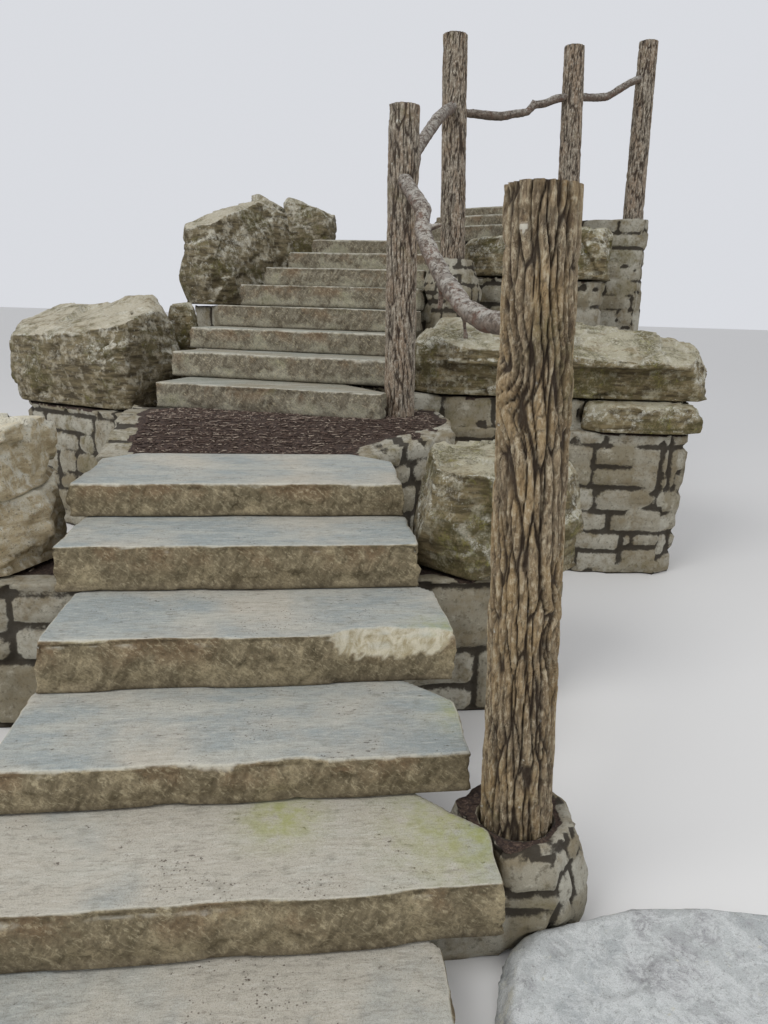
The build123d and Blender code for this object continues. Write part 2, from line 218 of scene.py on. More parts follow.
# The colours that all materials of a kind share
PAINTS = {
    "tread_sweep": srgb(188, 186, 174),
    "tread_mottle": srgb(128, 126, 114),
    "tread_comb_dark": srgb(116, 114, 104),
    "tread_comb_pale": srgb(208, 206, 196),
    "tread_pit": srgb(104, 98, 88),
    "tread_dirt": srgb(70, 56, 46),
    "tread_speck": srgb(76, 64, 56),
    "tread_moss": srgb(156, 160, 84),
    "face_mottle": srgb(78, 70, 54),
    "face_stain": srgb(118, 92, 66),
    "face_pore": srgb(76, 68, 54),
    "face_hatch_pale": srgb(194, 182, 150),
    "face_hatch_dark": srgb(78, 68, 52),
    "face_moss": srgb(116, 116, 72),
    "spall_dark": srgb(168, 156, 124),
    "spall_pale": srgb(206, 199, 176),
    "arris_worn": srgb(204, 200, 184),
    # Painted shade for the foot of a slab's rock face, where it meets the step below
    "foot_painted_shade": srgb(72, 62, 52),
    "slab_grain": srgb(84, 78, 68),
    "cushion_dark": srgb(82, 76, 42),
    "cushion_bright": srgb(128, 124, 58),
    "bruise": srgb(146, 143, 146),
    "scab": srgb(218, 220, 218),
    "shoulder_lichen": srgb(206, 204, 190),
    "edge_lichen": srgb(214, 210, 194),
    "spot_lichen": srgb(208, 206, 190),
    "rock_pore": srgb(66, 60, 48),
    "rock_grain": srgb(88, 82, 70),
    "block_stain": srgb(124, 112, 88),
    "block_pale": srgb(186, 182, 166),
    "block_moss": srgb(104, 100, 62),
    "block_pore": srgb(80, 73, 58),
    "block_grain": srgb(90, 84, 72),
    "soil_dark": srgb(50, 40, 36),
    "soil_shred": srgb(112, 94, 82),
    "bark_hollow": srgb(72, 58, 46),
    "bark_moss": srgb(104, 98, 58),
    "bark_lichen": srgb(212, 210, 198),
    "bark_furrow": srgb(50, 39, 31),
    "sawn_dark": srgb(128, 112, 92),
    "sawn_pale": srgb(182, 170, 148),
    "sawn_limb": srgb(214, 208, 192),
    "wood_dark": srgb(66, 56, 49),
    "wood_brown": srgb(120, 106, 93),
    "wood_red": srgb(96, 70, 56),
    "wood_lichen": srgb(168, 165, 156),
    "wood_pit": srgb(48, 40, 34),
    "sliver_dark": srgb(54, 43, 38),
    "sliver_brown": srgb(98, 80, 70),
    "sliver_pale": srgb(166, 152, 136),
    "sliver_grain": srgb(44, 35, 30),
}


def slab_look(name, cool, warm, face, face_dark, buff, moss_low, foot_pale):
    """Top and rock face of a slab, told apart by the way they face, with a pale worn arris between."""
    look = Look(name)
    up = look.upward()
    level = look.mark("height")
    mottle = look.noise(0.05, 6, 0.7)
    fine = look.noise(0.008, 6, 0.75)
    grain = look.noise(0.0022, 3, 0.6)
    comb = look.noise(0.012, 7, 0.75, look.squeezed((0.25, 1.2, 1.0), 0.5), warp=0.4)
    streak = look.noise(0.03, 7, 0.7, look.slanted(0.45, 2.6), warp=0.5)

    # The tread: cool and warm clouds, pale sweeps, combed grain, pits, dirt, specks and moss
    cloud = look.plus(look.noise(0.45, 6, 0.6), look.times(look.mark("warm"), 0.24))
    sweep = look.noise(0.10, 6, 0.6, look.squeezed((0.28, 1.2, 1.0), 0.5), warp=0.3)
    flat = look.mix(look.span(cloud, 0.52, 0.72), cool, warm)
    flat = look.over(flat, PAINTS["tread_sweep"], look.span(sweep, 0.46, 0.66), 0.65)
    flat = look.over(flat, PAINTS["tread_mottle"], look.span(mottle, 0.54, 0.72), 0.5)
    flat = look.over(flat, PAINTS["tread_comb_dark"], look.span(comb, 0.52, 0.64), 0.45)
    flat = look.over(flat, PAINTS["tread_comb_pale"], look.span(comb, 0.46, 0.36), 0.45)
    flat = look.over(flat, PAINTS["tread_pit"], look.span(look.noise(0.004, 4, 0.8), 0.52, 0.62), 0.4)
    flake = look.plus(look.cells(0.022, look.squeezed((0.6, 1.4, 1.0), 0.7)), look.span(fine, 0.3, 0.7))
    dirt = look.times(look.span(flake, 0.62, 0.5), look.span(look.noise(0.11, 5, 0.7), 0.50, 0.58))
    flat = look.over(flat, PAINTS["tread_dirt"], dirt, 0.85)
    speck = look.plus(look.cells(0.013), look.span(look.noise(0.3, 5, 0.6), 0.62, 0.46))
    flat = look.over(flat, PAINTS["tread_speck"], look.span(speck, 0.24, 0.14), 0.75)
    green = look.times(look.mark("moss"), look.span(mottle, 0.3, 0.6))
    flat = look.over(flat, PAINTS["tread_moss"], green, 0.8)

    # The rock face: slanted streaks, buff patches, stains under the arris, hatching, moss and spalls
    side = look.mix(look.span(streak, 0.38, 0.60), face_dark, face)
    low = look.plus(look.noise(0.2, 7, 0.7), look.times(look.minus(0.5, level), foot_pale))
    side = look.over(side, buff, look.span(low, 0.50, 0.60), 0.75)
    side = look.over(side, buff, look.span(streak, 0.56, 0.68), 0.6)
    side = look.over(side, PAINTS["face_mottle"], look.span(mottle, 0.56, 0.7), 0.6)
    stain = look.times(look.span(look.noise(0.23, 6, 0.65), 0.50, 0.60), look.span(level, 0.3, 0.75))
    side = look.over(side, PAINTS["face_stain"], stain, 0.55)
    hatch = look.noise(0.011, 6, 0.75, look.slanted(-0.9, 2.6), warp=0.4)
    side = look.over(side, PAINTS["face_pore"], look.span(fine, 0.50, 0.58), 0.38)
    side = look.over(side, PAINTS["face_hatch_pale"], look.span(hatch, 0.53, 0.62), 0.45)
    side = look.over(side, PAINTS["face_hatch_dark"], look.span(hatch, 0.46, 0.38), 0.35)
    damp = look.span(look.noise(0.2, 6, 0.65), moss_low, moss_low + 0.14)
    moss = look.times(damp, look.span(fine, 0.35, 0.6))
    side = look.over(side, PAINTS["face_moss"], moss, 0.6)
    fresh = look.mix(look.span(streak, 0.42, 0.58), PAINTS["spall_dark"], PAINTS["spall_pale"])
    side = look.over(side, fresh, look.mark("spall"), 0.85)

    # Both, with a pale worn arris between and painted shade darkening the foot of the rock face
    colour = look.over(side, flat, look.span(up, 0.6, 0.85), look.span(level, 0.6, 0.75))
    edge = look.times(look.span(up, 0.3, 0.55), look.span(up, 0.96, 0.86))
    edge = look.times(edge, look.span(level, 0.78, 0.9))
    edge = look.times(edge, look.span(look.noise(0.04, 5, 0.7), 0.36, 0.56))
    colour = look.over(colour, PAINTS["arris_worn"], edge, 0.6)
    # Painted shade: the lowest quarter of the slab darkened, most at the bottom, where its rock face meets
    # the step below
    colour = look.over(colour, PAINTS["foot_painted_shade"], look.span(level, 0.25, 0.0), 0.45)
    colour = look.over(colour, PAINTS["slab_grain"], look.span(grain, 0.5, 0.7), 0.3)
    look.bump(comb, 0.003, 0.5)
    look.bump(streak, 0.007, 0.5)
    look.bump(fine, 0.004, 0.8)
    look.bump(grain, 0.0008, 0.7)
    return look.done(colour)


def rock_look(name, top, side, dark, moss_low, moss_high, crust=0.0, speckle=0.6):
    """A boulder: weathered pale where it faces up, stained and mossy on its sides, lichen on its edges.
    Crust is how much grey lichen covers it all, and speckle how dark its pores are."""
    look = Look(name)
    up = look.upward()
    cloud = look.noise(0.24, 7, 0.65)
    mottle = look.noise(0.06, 7, 0.7)
    fine = look.noise(0.012, 7, 0.75)
    grain = look.noise(0.003, 3, 0.6)
    bedding = look.noise(0.05, 7, 0.65, look.squeezed((0.35, 0.35, 1.8)), warp=0.3)

    # The stone: bedded sides, and a weathered top where it faces up
    colour = look.mix(look.span(bedding, 0.40, 0.60), dark, side)
    colour = look.over(colour, top, look.span(mottle, 0.50, 0.62), 0.6)
    sky = look.span(look.plus(up, cloud), 0.85, 1.12)
    worn = look.mix(look.span(mottle, 0.42, 0.6), top, side)
    worn = look.mix(look.span(cloud, 0.48, 0.56), top, worn)
    colour = look.over(colour, worn, sky, 0.85)

    # What grows on it: moss, a grey crust, and white lichen on its shoulders and edges
    damp = look.span(look.noise(0.26, 7, 0.7, warp=0.4), moss_low, moss_high)
    moss = look.times(damp, look.span(fine, 0.34, 0.54))
    tuft = look.span(look.noise(0.05, 7, 0.75), 0.54, 0.62)
    cushion = look.mix(tuft, PAINTS["cushion_dark"], PAINTS["cushion_bright"])
    colour = look.over(colour, cushion, moss, 0.85)
    bruise = look.span(look.noise(0.17, 6, 0.7), 0.50, 0.60)
    colour = look.over(colour, PAINTS["bruise"], bruise, 0.8 * crust)
    scab = look.span(look.noise(0.07, 9, 0.85, warp=0.6), 0.47, 0.55)
    colour = look.over(colour, PAINTS["scab"], scab, crust)
    shoulder = look.times(look.span(up, 0.0, 0.35), look.span(up, 0.94, 0.7))
    shoulder = look.times(shoulder, look.span(look.noise(0.05, 9, 0.85, warp=0.6), 0.51, 0.56))
    colour = look.over(colour, PAINTS["shoulder_lichen"], shoulder, 0.8)
    edge = look.times(look.span(look.mark("arris"), 0.35, 0.9), look.span(mottle, 0.44, 0.56))
    edge = look.times(edge, look.span(up, -0.1, 0.3))
    colour = look.over(colour, PAINTS["edge_lichen"], edge, 0.8)
    colour = look.mix(look.span(look.noise(0.045, 7, 0.75), 0.64, 0.68), colour, PAINTS["spot_lichen"])
    colour = look.over(colour, PAINTS["rock_pore"], look.span(fine, 0.55, 0.64), speckle)
    colour = look.over(colour, PAINTS["rock_grain"], look.span(grain, 0.45, 0.7), 0.3)
    look.bump(bedding, 0.012, 0.6)
    look.bump(fine, 0.006, 0.8)
    look.bump(grain, 0.001, 0.6)
    return look.done(colour)


def masonry_look(name, one, two, joint, earth):
    """Packed blocks of differing tone with dark joints, and earth on top where the mesh says so."""
    look = Look(name)
    fine = look.noise(0.02, 6, 0.7)
    grain = look.noise(0.003, 3, 0.6)

    # The blocks
    tone = look.mark("tone")
    stain = look.noise(0.1, 7, 0.7)
    colour = look.mix(look.span(tone, 0.1, 0.9), one, two)
    colour = look.over(colour, PAINTS["block_stain"], look.span(stain, 0.48, 0.62), 0.8)
    colour = look.over(colour, PAINTS["block_pale"], look.span(stain, 0.44, 0.36), 0.5)
    green = look.times(look.span(look.noise(0.4, 7, 0.7), 0.54, 0.64), look.span(fine, 0.36, 0.56))
    colour = look.over(colour, PAINTS["block_moss"], green, 0.5)
    colour = look.over(colour, PAINTS["block_pore"], look.span(fine, 0.54, 0.64), 0.6)
    colour = look.over(colour, PAINTS["block_grain"], look.span(grain, 0.45, 0.7), 0.3)

    # The joints and the earth, with ragged limits
    ragged = look.times(look.minus(look.noise(0.03, 6, 0.75), 0.5), 1.1)
    deep = look.span(look.plus(look.mark("joint"), ragged), 0.36, 0.58)
    colour = look.over(colour, joint, deep, 0.92)
    crumb = look.cells(0.011)
    shred = look.noise(0.012, 6, 0.75, warp=1.5)
    soil = look.mix(look.span(crumb, 0.2, 0.7), earth, PAINTS["soil_dark"])
    soil = look.mix(look.span(shred, 0.54, 0.64), soil, PAINTS["soil_shred"])
    colour = look.mix(look.span(look.plus(look.mark("earth"), ragged), 0.42, 0.54), colour, soil)
    look.bump(fine, 0.006, 0.7)
    look.bump(grain, 0.001, 0.5)
    return look.done(colour)


def bark_look(name, ridge, ridge_dark, golden, pale, moss_low):
    """Bark drawn out along the log, dark in its furrows, and sawn wood where the mesh says so."""
    look = Look(name, 0.92)
    furrow = look.mark("furrow")
    strands = look.noise(0.010, 8, 0.75, look.squeezed((1, 1, 0.22)), warp=0.5)
    flakes = look.noise(0.014, 8, 0.8, look.squeezed((1, 1, 0.5)), warp=0.3)
    patch = look.noise(0.10, 5, 0.6, look.squeezed((1, 1, 0.4)))
    colour = look.mix(look.span(strands, 0.40, 0.58), ridge_dark, ridge)
    colour = look.over(colour, golden, look.span(patch, 0.58, 0.42), 0.55)
    colour = look.over(colour, pale, look.span(flakes, 0.50, 0.60), 0.85)
    colour = look.over(colour, PAINTS["bark_hollow"], look.span(flakes, 0.44, 0.36), 0.75)
    damp = look.span(look.noise(0.18, 6, 0.65), moss_low, moss_low + 0.12)
    moss = look.times(damp, look.span(strands, 0.36, 0.56))
    colour = look.over(colour, PAINTS["bark_moss"], moss, 0.7)
    colour = look.mix(look.span(look.noise(0.03, 3, 0.5), 0.72, 0.76), colour, PAINTS["bark_lichen"])
    colour = look.over(colour, PAINTS["bark_furrow"], look.span(furrow, 0.2, 0.85), 0.92)
    pith = look.span(look.noise(0.006, 4, 0.6), 0.35, 0.65)
    sawn = look.mix(pith, PAINTS["sawn_dark"], PAINTS["sawn_pale"])
    colour = look.mix(look.span(furrow, -0.4, -0.6), colour, sawn)
    colour = look.mix(look.span(furrow, -1.5, -1.8), colour, PAINTS["sawn_limb"])
    look.bump(strands, 0.007, 1.0)
    look.bump(flakes, 0.006, 0.9)
    look.bump(look.noise(0.0025, 4, 0.7), 0.0015, 0.8)
    return look.done(colour)


def branch_look(name):
    """Weathered wood, brown and red, with grey lichen where it faces up."""
    look = Look(name, 0.85)
    lengthwise = look.squeezed((0.6, 0.22, 0.6))
    strands = look.noise(0.010, 6, 0.7, lengthwise, warp=0.4)
    colour = look.mix(look.span(strands, 0.36, 0.62), PAINTS["wood_dark"], PAINTS["wood_brown"])
    patch = look.span(look.noise(0.05, 7, 0.7, lengthwise), 0.54, 0.62)
    colour = look.mix(patch, colour, PAINTS["wood_red"])
    scab = look.span(look.noise(0.02, 9, 0.9, lengthwise), 0.47, 0.54)
    lichen = look.times(scab, look.span(look.upward(), -0.2, 0.6))
    colour = look.over(colour, PAINTS["wood_lichen"], lichen, 0.85)
    colour = look.mix(look.span(look.noise(0.015, 5, 0.6), 0.60, 0.68), colour, PAINTS["wood_pit"])
    look.bump(strands, 0.004, 0.8)
    look.bump(look.noise(0.004, 4, 0.6), 0.0015, 0.7)
    return look.done(colour)


def mulch_look(name):
    """Shredded bark, each sliver in its own tone."""
    look = Look(name, 0.95)
    tone = look.mark("tone")
    colour = look.mix(look.span(tone, 0.0, 0.6), PAINTS["sliver_dark"], PAINTS["sliver_brown"])
    colour = look.mix(look.span(tone, 0.65, 0.95), colour, PAINTS["sliver_pale"])
    grain = look.noise(0.004, 4, 0.7)
    colour = look.over(colour, PAINTS["sliver_grain"], look.span(grain, 0.45, 0.65), 0.5)
    look.bump(grain, 0.001, 0.7)
    return look.done(colour)


looks = {look.name: look for look in (
    slab_look("lower_slab", cool=srgb(154, 161, 159), warm=srgb(184, 178, 164), face=srgb(140, 128, 102),
              face_dark=srgb(98, 88, 66), buff=srgb(172, 158, 126), moss_low=0.62, foot_pale=0.08),
    slab_look("upper_slab", cool=srgb(146, 148, 136), warm=srgb(150, 142, 122), face=srgb(134, 127, 110),
              face_dark=srgb(90, 82, 68), buff=srgb(172, 168, 148), moss_low=0.56, foot_pale=0.22),
    rock_look("grey_rock", top=srgb(194, 197, 195), side=srgb(176, 180, 180), dark=srgb(148, 151, 152),
              moss_low=0.78, moss_high=0.9, crust=0.7, speckle=0.3),
    rock_look("pale_rock", top=srgb(211, 205, 184), side=srgb(197, 182, 150), dark=srgb(160, 143, 110),
              moss_low=0.64, moss_high=0.76),
    rock_look("cream_rock", top=srgb(194, 186, 164), side=srgb(132, 120, 92), dark=srgb(72, 63, 46),
              moss_low=0.50, moss_high=0.60),
    rock_look("mossy_rock", top=srgb(184, 178, 154), side=srgb(134, 120, 88), dark=srgb(74, 64, 44),
              moss_low=0.47, moss_high=0.57),
    masonry_look("masonry", one=srgb(132, 124, 104), two=srgb(164, 160, 146), joint=srgb(48, 42, 34),
                 earth=srgb(74, 60, 50)),
    bark_look("near_bark", ridge=srgb(166, 148, 120), ridge_dark=srgb(108, 92, 72),
              golden=srgb(176, 148, 104), pale=srgb(206, 192, 164), moss_low=0.56),
    bark_look("far_bark", ridge=srgb(158, 148, 132), ridge_dark=srgb(104, 92, 78),
              golden=srgb(150, 126, 102), pale=srgb(194, 186, 170), moss_low=0.60),
    branch_look("branch_wood"),
    mulch_look("mulch"),
)}

# Repeatable noise in metres: the whole numbers that stir a cell's place and its seed
HASH_X = 73856093
HASH_Y = 19349663
HASH_Z = 83492791
HASH_SEED = 668265263
HASH_STIR = 1274126177


def hashed(cell, seed):
    """Numbers from 0 to 1 for rows of whole numbers."""
    mixed = (cell[:, 0] * HASH_X) ^ (cell[:, 1] * HASH_Y) ^ (cell[:, 2] * HASH_Z) ^ (seed * HASH_SEED)
    mixed = (mixed ^ (mixed >> 13)) * HASH_STIR
    mixed = mixed ^ (mixed >> 16)
    return (mixed & 0xFFFF) / 0xFFFF


def lumps(points, scale, seed):
    """Smooth noise from -1 to 1 with lumps 1/scale wide; scale is one number or three."""
    spaced = points * np.asarray(scale, float)
    cell = np.floor(spaced).astype(np.int64)
    part = spaced - cell
    part = part * part * (3 - 2 * part)
    total = np.zeros(len(points))
    for corner in np.ndindex(2, 2, 2):
        weight = np.prod(np.where(np.array(corner) == 1, part, 1 - part), axis=1)
        total += weight * hashed(cell + np.array(corner), seed)
    return 2 * total - 1


def fractal(points, scale, seed, octaves=4):
    """Lumps with ever smaller ones on them, from -1 to 1."""
    total = np.zeros(len(points))
    for octave in range(octaves):
        total += lumps(points, np.asarray(scale, float) * 2 ** octave, seed + octave) / 2 ** octave
    return total / (2 - 0.5 ** (octaves - 1))


def chips(points, scale, seed):
    """Flat tilted facets: their height round 0, each cell's own number, and the way to its edge."""
    spaced = points * np.asarray(scale, float)
    cell = np.floor(spaced).astype(np.int64)
    nearest = np.full(len(points), np.inf)
    second = np.full(len(points), np.inf)
    height = np.zeros(len(points))
    own = np.zeros(len(points))
    for step in np.ndindex(3, 3, 3):
        other = cell + np.array(step) - 1
        middle = np.stack([hashed(other, seed + k) for k in range(3)], axis=1)
        away = spaced - other - middle
        distance = np.linalg.norm(away, axis=1)
        lean = np.stack([hashed(other, seed + 3 + k) - 0.5 for k in range(3)], axis=1)
        closer = distance < nearest
        second = np.where(closer, nearest, np.minimum(second, distance))
        height = np.where(closer, 2 * (away * lean).sum(axis=1), height)
        own = np.where(closer, hashed(other, seed + 7), own)
        nearest = np.minimum(nearest, distance)
    return height, own, second - nearest


def smooth(value, low, high):
    """0 up to low, 1 from high on, and an eased slope between."""
    share = np.clip((value - low) / (high - low), 0, 1)
    return share * share * (3 - 2 * share)


# Meshes
WELD = 1e-5


def read(mesh, what):
    """The place or normal of each vertex, as told by what, in rows of three."""
    values = np.empty(len(mesh.vertices) * 3)
    mesh.vertices.foreach_get(what, values)
    return values.reshape(-1, 3)


def place(mesh, points):
    """Puts each vertex in its new place."""
    mesh.vertices.foreach_set("co", points.ravel())
    mesh.update()


def mark(mesh, name, values):
    """Keeps one number a vertex for the materials."""
    mesh.attributes.new(name, "FLOAT", "POINT").data.foreach_set("value", np.asarray(values, np.float32))


def bake(piece):
    """Makes the mesh what the modifiers show."""
    graph = bpy.context.evaluated_depsgraph_get()
    piece.data = bpy.data.meshes.new_from_object(piece.evaluated_get(graph))
    piece.modifiers.clear()


def fine_copy(node, voxel, name):
    """An even, finely meshed copy of a CAD node, which it replaces."""
    shape = bmesh.new()
    shape.from_mesh(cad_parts[node].data)
    bmesh.ops.remove_doubles(shape, verts=shape.verts, dist=WELD)
    mesh = bpy.data.meshes.new(node)
    shape.to_mesh(mesh)
    shape.free()
    piece = bpy.data.objects.new(name, mesh)
    bpy.context.collection.objects.link(piece)
    remesh = piece.modifiers.new("even", "REMESH")
    remesh.mode = "VOXEL"
    remesh.voxel_size = voxel
    bake(piece)
    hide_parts(node)
    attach(piece, "root")
    return piece


def rounded(piece, times, flat=False):
    """Wears the corners down, only sideways where flat is set."""
    worn = piece.modifiers.new("round", "SMOOTH")
    worn.iterations = times
    worn.use_z = not flat
    bake(piece)


def finish_piece(piece, look):
    """Gives a piece its material and the slot that goes with it."""
    piece.data.materials.clear()
    piece.data.materials.append(look)
    piece.data.shade_smooth()


def carve(piece, shape):
    """Moves each vertex along its normal by what shape gives for its place and normal."""
    points = read(piece.data, "co")
    normals = read(piece.data, "normal")
    place(piece.data, points + normals * shape(points, normals)[:, None])


# Slabs, with lengths in metres. What faces down further than the bed's number isn't cut.
CLEAVAGE = np.array([[1, 0, 0.7], [0, 1, 0.7], [-0.7, 0, 1]])
FACE_DEPTH = 0.034
TREAD_DEPTH = 0.006
SLAB_BED = -0.5
FRONT_STRIP = 0.03
LEAST_SPALL = 0.004


def knock_off(points, node, seed, spalls):
    """Slices the spalls off the front arris, and tells which vertices lie on the fresh stone."""
    foot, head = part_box(node)
    strip = np.round((points[:, 0] - foot[0]) / FRONT_STRIP).astype(int)
    fronts = np.full(strip.max() + 1, np.inf)
    np.minimum.at(fronts, strip, points[:, 1])
    front = fronts[strip]
    bare = np.zeros(len(points))
    for x, width, deep in spalls:
        across = (points[:, 0] - x) / width + 0.25 * lumps(points, (14, 1, 1), seed + 40)
        drop = deep * np.clip(1 - across ** 2, 0.001, 1) * (1 + 0.2 * lumps(points, 20, seed + 41))
        back = 0.6 * drop + 0.006
        outside = (front + back - points[:, 1]) / back + (points[:, 2] - head[2]) / drop
        outside = np.clip(outside, 0, None) * (drop > LEAST_SPALL)
        steep = back ** -2 + drop ** -2
        points[:, 1] += outside / back / steep
        points[:, 2] -= outside / drop / steep
        bare = np.maximum(bare, outside > 0)
    return bare


def slab(node, voxel, seed, warm=0.5, moss=(), spalls=()):
    """A split sandstone slab: nearly flat top, worn and chipped arris, rough rock face.
    Moss is given as x, y and reach, a spall as x, width and depth along the front edge."""
    def shape(points, normals):
        upward = np.clip(normals[:, 2], 0, 1)
        side = 1 - np.abs(normals[:, 2])
        arris = 4 * upward * (1 - upward)
        leaning = points @ CLEAVAGE
        broad = chips(leaning, (6, 6, 8), seed)[0]
        small = chips(leaning, (17, 17, 20), seed + 13)[0]
        face = 0.013 + 0.014 * broad + 0.006 * small + 0.012 * fractal(leaning, (18, 18, 26), seed + 9, 5)
        chipped = smooth(fractal(points, (7, 7, 2), seed + 20, 4), 0.0, 0.4)
        tread = 0.0015 + 0.003 * fractal(points, (4, 4, 3), seed + 30, 6)
        inward = side * np.clip(face, 0, FACE_DEPTH) + arris * (0.002 + 0.018 * chipped)
        inward += upward * np.clip(tread, 0, TREAD_DEPTH)
        return -inward * (normals[:, 2] > SLAB_BED)
    piece = fine_copy(node, voxel, node + "_stone")
    rounded(piece, times=5, flat=True)
    carve(piece, shape)
    points = read(piece.data, "co")
    bare = knock_off(points, node, seed, spalls)
    place(piece.data, points)
    green = np.zeros(len(points))
    for x, y, reach in moss:
        green = np.maximum(green, np.exp(-(np.hypot(points[:, 0] - x, points[:, 1] - y) / reach) ** 2))
    mark(piece.data, "height", (points[:, 2] - points[:, 2].min()) / np.ptp(points[:, 2]))
    mark(piece.data, "warm", np.full(len(points), warm))
    mark(piece.data, "moss", green)
    mark(piece.data, "spall", bare)
    finish_piece(piece, looks["lower_slab"] if node.startswith("lower") else looks["upper_slab"])


# Boulders, with facets to the metre, worn edges as shares of a facet, and lengths in metres
CLEFTS = (3.2, 3.2, 4.4)
CHIPS = (9, 9, 12)
CLEFT_EDGE = 0.10
CHIP_EDGE = 0.22
BED_HEIGHT = 0.11
ROCK_DEPTH = 0.075
ROCK_BED = -0.6


def rock(node, voxel, seed, look, rough=1.0, tilt=0.16, layers=0.012):
    """A boulder: broad cleft facets, bedding layers that lean, and a pitted skin."""
    def shape(points, normals):
        broad = chips(points, CLEFTS, seed)[0]
        small = chips(points, CHIPS, seed + 11)[0]
        tilted = points[:, 2] + tilt * points[:, 0] + 0.05 * fractal(points, 2.0, seed + 5)
        seam = np.abs(((tilted / BED_HEIGHT) % 1) - 0.5) * 2
        side = 1 - np.abs(normals[:, 2])
        inward = 0.022 + 0.045 * broad + 0.012 * small + 0.009 * fractal(points, 7, seed + 3, 6)
        inward += layers * side * smooth(seam, 0.8, 1.0) * smooth(lumps(points, 4, seed + 21), -0.2, 0.3)
        return -rough * np.clip(inward, 0, ROCK_DEPTH) * (normals[:, 2] > ROCK_BED)
    piece = fine_copy(node, voxel, node + "_stone")
    rounded(piece, times=8)
    before = read(piece.data, "co")
    broad_edge = chips(before, CLEFTS, seed)[2] / CLEFT_EDGE
    small_edge = chips(before, CHIPS, seed + 11)[2] / CHIP_EDGE
    carve(piece, shape)
    mark(piece.data, "arris", rough * (1 - np.clip(np.minimum(broad_edge, small_edge), 0, 1)))
    finish_piece(piece, looks[look])


# How near to the height of a post's end a vertex counts as part of its ring
RING_HEIGHT = 0.002


def rings_of(node):
    """Middle and radius of a post's lowest and highest section."""
    points = read(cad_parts[node].data, "co")
    ends = []
    for height in (points[:, 2].min(), points[:, 2].max()):
        ring = points[np.abs(points[:, 2] - height) < RING_HEIGHT]
        middle = (ring.min(axis=0) + ring.max(axis=0)) / 2
        ends.append((middle, np.linalg.norm(ring[:, :2] - middle[:2], axis=1).max()))
    return ends


def beside_posts(points, posts):
    """How far each place lies from the middle line of the nearest post, and its angle round it.
    Only the first few posts count, as many as posts says."""
    away = np.full(len(points), np.inf)
    around = np.zeros(len(points))
    for number in range(1, posts + 1):
        foot, head = [ring[0] for ring in rings_of(f"post_{number}")]
        share = (points[:, 2] - foot[2]) / (head[2] - foot[2])
        middle = foot[:2] + share[:, None] * (head[:2] - foot[:2])
        offset = points[:, :2] - middle
        distance = np.linalg.norm(offset, axis=1)
        around = np.where(distance < away, np.arctan2(offset[:, 1], offset[:, 0]), around)
        away = np.minimum(away, distance)
    return away, around


def stones_tree():
    """The slabs' and boulders' CAD surfaces, to tell a foundation's free edge from one that they hide."""
    corners = []
    faces = []
    for node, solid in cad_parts.items():
        if "step" in node or "boulder" in node:
            start = len(corners)
            corners += [vertex.co.copy() for vertex in solid.data.vertices]
            faces += [[start + index for index in face.vertices] for face in solid.data.polygons]
    return BVHTree.FromPolygons(corners, faces)


# Packed stone, with lengths in metres. A wall's stones run by its heading, and HEADINGS make half a turn.
# The collars round the first posts run by angle, at a smaller scale and with a heading number of their own.
COURSE_HEIGHT = 0.29
GROUP_LENGTH = 0.54
BLOCK_CORNER = 0.045
JOINT_WIDTH = 0.026
JOINT_DEPTH = 0.045
HEADINGS = 12
POSTS = 5
COLLARED_POSTS = 3
COLLAR_REACH = 0.36
COLLAR_RADIUS = 0.28
COLLAR_SCALE = 0.5
COLLAR_HEADING = 40
SOCKET_RADIUS = 0.15
# A rim nearer than this to a slab or boulder is hidden by it
HIDDEN_EDGE = 0.07
SLIVER_TO_COPING = 0.04
SLIVER_TO_EDGE = 0.05
SINGLE_ROWS = 0.3
DIVIDED_ROWS = 0.7
# How far up a surface faces, from -1 to 1: on a top, on the rim beside it, and where no joint is cut in
TOP_FACES = 0.7
RIM_FACES = (0.15, 0.8)
FLAT_FACES = 0.95


